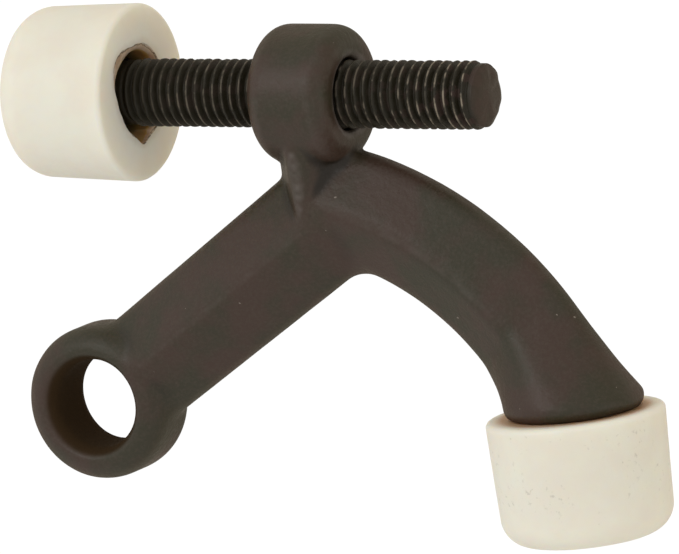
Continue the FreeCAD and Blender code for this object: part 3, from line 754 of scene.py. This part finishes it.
def screw_material():
    """Black oxide with crests rubbed bright, more so towards the tip, and dimmed near the bumper as painted shade.
    """
    material, tree, shader = new_material("worn_black_screw")
    place = millimetres(tree)
    patches = noise_at(tree, place, SCREW_PATCH_SIZE, detail=4)
    from_tip = attribute(tree, "from_tip")
    # painted shade: crests and rust dimmed near the bumper; rubbing grows towards the tip
    out_of_bumper_shade = ramp(tree, from_tip, *BUMPER_SHADE_RANGE)
    exposed = calc(tree, "MULTIPLY", ramp(tree, from_tip, *TIP_END_RANGE), out_of_bumper_shade)
    crest = ramp(tree, attribute(tree, "height"), *CREST_RANGE)
    worn = calc(tree, "MULTIPLY", crest, ramp(tree, patches, *SCREW_PATCH_RANGE))
    worn = calc(tree, "MULTIPLY", worn, exposed)
    rusty = calc(tree, "MULTIPLY", ramp(tree, patches, *RUSTY_RANGE), exposed)
    dark = mixed(tree, rusty, SCREW_BLACK, SCREW_RUSTY)
    colour = mixed(tree, worn, dark, SCREW_BRIGHT)
    colour = mixed(tree, ramp(tree, from_tip, *TIP_FACE_RANGE), colour, SCREW_TIP)
    tree.links.new(colour, shader.inputs["Base Color"])
    shader.inputs["Specular IOR Level"].default_value = SCREW_SHINE
    tree.links.new(ramp(tree, patches, *SCREW_ROUGHNESS), shader.inputs["Roughness"])
    scratch = bumps(tree, noise_at(tree, place, SCRATCH_SIZE, detail=4), SCRATCH_HEIGHT)
    tree.links.new(scratch, shader.inputs["Normal"])
    return material


# ---------------------------------------------------------------- rubber of the bumpers

IVORY_PALE = (0.745, 0.73, 0.64)
IVORY_WARM = (0.73, 0.695, 0.605)
SCUFF_GREY = (0.42, 0.40, 0.33)
CONTACT_SHADE_ORANGE = (0.48, 0.27, 0.13)
HALO_TAN = (0.52, 0.40, 0.26)
LIP_TAUPE = (0.42, 0.28, 0.18)
LIP_SAND = (0.55, 0.43, 0.32)
LIP_LINE_BROWN = (0.11, 0.07, 0.04)
HOLE_STAIN_AND_LIGHT = (0.50, 0.33, 0.13)
DEEP_STAIN_AND_LIGHT = (0.22, 0.15, 0.06)

IVORY_CLOUD_SIZE = 5.0
IVORY_CLOUD_RANGE = (0.35, 0.65)
SCUFF_SIZE = 0.45
SCUFF_RANGE = (0.60, 0.74, 0.0)  # its strongest effect is each bumper's own
SCUFF_PATCH_SIZE = 4.5
SCUFF_PATCH_RANGE = (0.50, 0.60)
WANDER_SIZE = 0.7
WANDER_RANGE = (0.25, 0.75, -0.12, 0.12)  # the last two are mm that the stains' edges wander
CONTACT_SHADE_REACH = 1.6  # mm round a place that is searched for other surfaces
CONTACT_SHADE_RANGE = (0.93, 0.60, 0.0, 0.9)  # share of the directions that are open
STREAK_SIZE = 1.1
STREAK_RANGE = (0.35, 0.65)
RUBBER_GRAIN_SIZE = 0.6
RUBBER_GRAIN_HEIGHT = 0.02
RUBBER_ROUGHNESS = 0.5
RUBBER_SHINE = 0.3
RUBBER_DEPTH = (3.5, 2.6, 1.6)  # mm that red, green and blue light goes into the rubber
RUBBER_SOFTNESS = 0.7  # share of the light that goes in
# these begin and are full at mm beyond the edge of the hole's lip, counted below zero in the hole
HALO_RANGE = (0.9, 0.0, 0.0, 0.35)
LIP_LINE_RANGE = (0.05, -0.08)
LIP_RANGE = (-0.06, -0.20)
HOLE_RANGE = (-0.75, -1.0)
DEEP_RANGE = (-2.2, -3.4)


def rubber_material(name, scuffed):
    """Ivory rubber: soft and slightly see-through, stained brown round the hole and lit inside it by painted
    light, with painted shade where other surfaces come near, and with grey scuffs.
    """
    material, tree, shader = new_material(name)
    place = millimetres(tree)
    clouds = noise_at(tree, place, IVORY_CLOUD_SIZE, detail=3)
    body = mixed(tree, ramp(tree, clouds, *IVORY_CLOUD_RANGE), IVORY_PALE, IVORY_WARM)
    specks = ramp(tree, noise_at(tree, place, SCUFF_SIZE, detail=3), *SCUFF_RANGE, scuffed)
    patch = ramp(tree, noise_at(tree, place, SCUFF_PATCH_SIZE, detail=1), *SCUFF_PATCH_RANGE)
    body = mixed(tree, calc(tree, "MULTIPLY", specks, patch), body, SCUFF_GREY)
    wander = ramp(tree, noise_at(tree, place, WANDER_SIZE, detail=3), *WANDER_RANGE)
    from_lip = calc(tree, "ADD", attribute(tree, "from_lip"), wander)
    # painted shade: orange-brown where other surfaces close in, at contacts and in the hole
    links = {"Distance": CONTACT_SHADE_REACH * MM}
    open_share = put(tree, "ShaderNodeAmbientOcclusion", links, samples=8).outputs["AO"]
    body = mixed(tree, ramp(tree, open_share, *CONTACT_SHADE_RANGE), body, CONTACT_SHADE_ORANGE)
    body = mixed(tree, ramp(tree, from_lip, *HALO_RANGE), body, HALO_TAN)
    streaks = ramp(tree, noise_at(tree, place, STREAK_SIZE, detail=3), *STREAK_RANGE)
    streaked = mixed(tree, streaks, LIP_TAUPE, LIP_SAND)
    body = mixed(tree, ramp(tree, from_lip, *LIP_LINE_RANGE), body, LIP_LINE_BROWN)
    body = mixed(tree, ramp(tree, from_lip, *LIP_RANGE), body, streaked)
    # hole walls: a brown stain lifted by painted light, tan near the lip and a dimmer brown deeper in
    body = mixed(tree, ramp(tree, from_lip, *HOLE_RANGE), body, HOLE_STAIN_AND_LIGHT)
    body = mixed(tree, ramp(tree, from_lip, *DEEP_RANGE), body, DEEP_STAIN_AND_LIGHT)
    tree.links.new(body, shader.inputs["Base Color"])
    shader.inputs["Roughness"].default_value = RUBBER_ROUGHNESS
    shader.inputs["Specular IOR Level"].default_value = RUBBER_SHINE
    shader.inputs["Subsurface Weight"].default_value = RUBBER_SOFTNESS
    shader.inputs["Subsurface Radius"].default_value = RUBBER_DEPTH
    shader.inputs["Subsurface Scale"].default_value = MM
    fine = bumps(tree, noise_at(tree, place, RUBBER_GRAIN_SIZE, detail=4), RUBBER_GRAIN_HEIGHT)
    tree.links.new(fine, shader.inputs["Normal"])
    return material


# ---------------------------------------------------------------- studio

CAMERA_AZIMUTH = 110.3  # degrees
CAMERA_ELEVATION = 59.91  # degrees
CAMERA_ROLL = 112.07  # degrees
CAMERA_DISTANCE = 886.2  # mm
CAMERA_LENS = 518.1  # mm
AIM_SHIFT = Vector((0.38, -0.62, 0))  # mm from the middle of the part's box
FLOOR_DROP = 30.0  # mm
FLOOR_HALF = 4000.0  # mm, half the floor's side
FLOOR_COLOUR = (0.72, 0.66, 0.56, 1)
FLOOR_ROUGHNESS = 0.9
FLOOR_GLOW = 0.97  # share of the glow in what the camera sees of the floor
GLOW_STRENGTH = 1.05
BRIGHT_SIDE = (-0.75, 0.35, 0.55)  # direction of the brightest sky: camera's right, up and back shares
BRIGHT_SKY = 0.93
DIM_SKY = 0.86
SKY_COLOUR = (1.0, 0.985, 0.96, 1)
# places of lamps are mm to the camera's right, up and back from the aim, sizes are mm as well
SOFTBOX_PLACE = (-400, 180, 340)
SOFTBOX_SIZE = 200
SOFTBOX_WATTS = 0.56
SOFTBOX_COLOUR = (1.0, 0.99, 0.97)
FILL_PLACE = (420, -60, 200)
FILL_SIZE = 300
FILL_WATTS = 0.25
FILL_COLOUR = (1.0, 0.94, 0.83)


def camera_axes():
    """Right, up and back directions of the camera."""
    azimuth, elevation = math.radians(CAMERA_AZIMUTH), math.radians(CAMERA_ELEVATION)
    roll = math.radians(CAMERA_ROLL)
    flat = math.cos(elevation)
    back = Vector((math.sin(azimuth) * flat, -math.cos(azimuth) * flat, math.sin(elevation)))
    level = Vector((math.cos(azimuth), math.sin(azimuth), 0))
    up = back.cross(level)
    right = level * math.cos(roll) - up * math.sin(roll)
    return right, back.cross(right), back


def studio_camera(aim):
    """Camera that looks at the aim."""
    right, up, back = camera_axes()
    camera = bpy.data.objects.new("camera", bpy.data.cameras.new("camera"))
    camera.data.lens = CAMERA_LENS
    camera.matrix_world = Matrix((right, up, back)).transposed().to_4x4()
    camera.location = (aim + back * CAMERA_DISTANCE) * MM
    bpy.context.scene.collection.objects.link(camera)
    bpy.context.scene.camera = camera


def lamp(name, aim, place, size, watts, colour):
    """Square soft light at (right, up, back) millimetres from the aim, pointed at it."""
    right, up, back = camera_axes()
    light = bpy.data.lights.new(name, "AREA")
    light.size = size * MM
    light.energy = watts
    light.color = colour
    holder = bpy.data.objects.new(name, light)
    offset = right * place[0] + up * place[1] + back * place[2]
    holder.location = (aim + offset) * MM
    holder.rotation_mode = "QUATERNION"
    holder.rotation_quaternion = offset.to_track_quat("Z", "Y")
    bpy.context.scene.collection.objects.link(holder)


def pale_floor(lowest):
    """Big pale plane below the part, seen by the camera as a bright sweep."""
    height = lowest - FLOOR_DROP
    around = [(-1, -1), (1, -1), (1, 1), (-1, 1)]
    corners = [Vector((x * FLOOR_HALF, y * FLOOR_HALF, height)) * MM for x, y in around]
    mesh = bpy.data.meshes.new("floor")
    mesh.from_pydata(corners, [], [(0, 1, 2, 3)])
    floor = bpy.data.objects.new("floor", mesh)
    bpy.context.scene.collection.objects.link(floor)
    material, tree, shader = new_material("white_floor")
    shader.inputs["Base Color"].default_value = FLOOR_COLOUR
    shader.inputs["Roughness"].default_value = FLOOR_ROUGHNESS
    glow = put(tree, "ShaderNodeEmission", {"Color": WHITE, "Strength": GLOW_STRENGTH})
    seen = put(tree, "ShaderNodeLightPath").outputs["Is Camera Ray"]
    share = calc(tree, "MULTIPLY", seen, FLOOR_GLOW)
    both = put(tree, "ShaderNodeMixShader", {0: share, 1: shader.outputs[0], 2: glow.outputs[0]})
    tree.links.new(both.outputs[0], tree.nodes["Material Output"].inputs["Surface"])
    mesh.materials.append(material)


def white_world():
    """White surroundings, brighter on the camera's upper left than on its lower right."""
    right, up, back = camera_axes()
    bright_side = (right * BRIGHT_SIDE[0] + up * BRIGHT_SIDE[1] + back * BRIGHT_SIDE[2]).normalized()
    world = bpy.data.worlds.new("studio")
    bpy.context.scene.world = world
    world.use_nodes = True
    tree = world.node_tree
    background = tree.nodes["Background"]
    direction = put(tree, "ShaderNodeTexCoord").outputs["Generated"]
    links = {0: direction, 1: tuple(bright_side)}
    facing = put(tree, "ShaderNodeVectorMath", links, operation="DOT_PRODUCT")
    links = {"Value": facing.outputs["Value"], "From Min": -1.0, "To Min": DIM_SKY, "To Max": BRIGHT_SKY}
    sky = put(tree, "ShaderNodeMapRange", links).outputs["Result"]
    background.inputs["Color"].default_value = SKY_COLOUR
    tree.links.new(sky, background.inputs["Strength"])


# ---------------------------------------------------------------- assembly

DOOR_SCUFFS = 0.05  # strength of the grey scuffs
FRAME_SCUFFS = 0.45

cast_body = casting_piece()
cast_body.data.materials.append(bronze_material())

threaded_rod = screw_piece()
threaded_rod.data.materials.append(screw_material())

door_mouth = Vector((BUMPER_MOUTH, SCREW_LINE, 0))
towards_door = Vector(mounts["door_bumper_face"]["axis"])
door_bumper = bumper_piece("door_bumper", "screw_bumper", door_mouth, towards_door, torn=True, seed=3.1)
door_bumper.data.materials.append(rubber_material("ivory_rubber", DOOR_SCUFFS))
frame_bumper = bumper_piece("frame_bumper", "foot_bumper", FOOT_FACE, FOOT_AXIS, torn=False, seed=8.3)
frame_bumper.data.materials.append(rubber_material("scuffed_ivory_rubber", FRAME_SCUFFS))

cad_low, cad_high = cad_box
middle = (cad_low + cad_high) / 2 / MM
aim = Vector((middle.x, middle.y, 0)) + AIM_SHIFT
studio_camera(aim)
lamp("softbox", aim, SOFTBOX_PLACE, SOFTBOX_SIZE, SOFTBOX_WATTS, SOFTBOX_COLOUR)
lamp("warm_fill", aim, FILL_PLACE, FILL_SIZE, FILL_WATTS, FILL_COLOUR)
pale_floor(cad_low.z / MM)
white_world()
bpy.context.scene.view_settings.view_transform = "Standard"
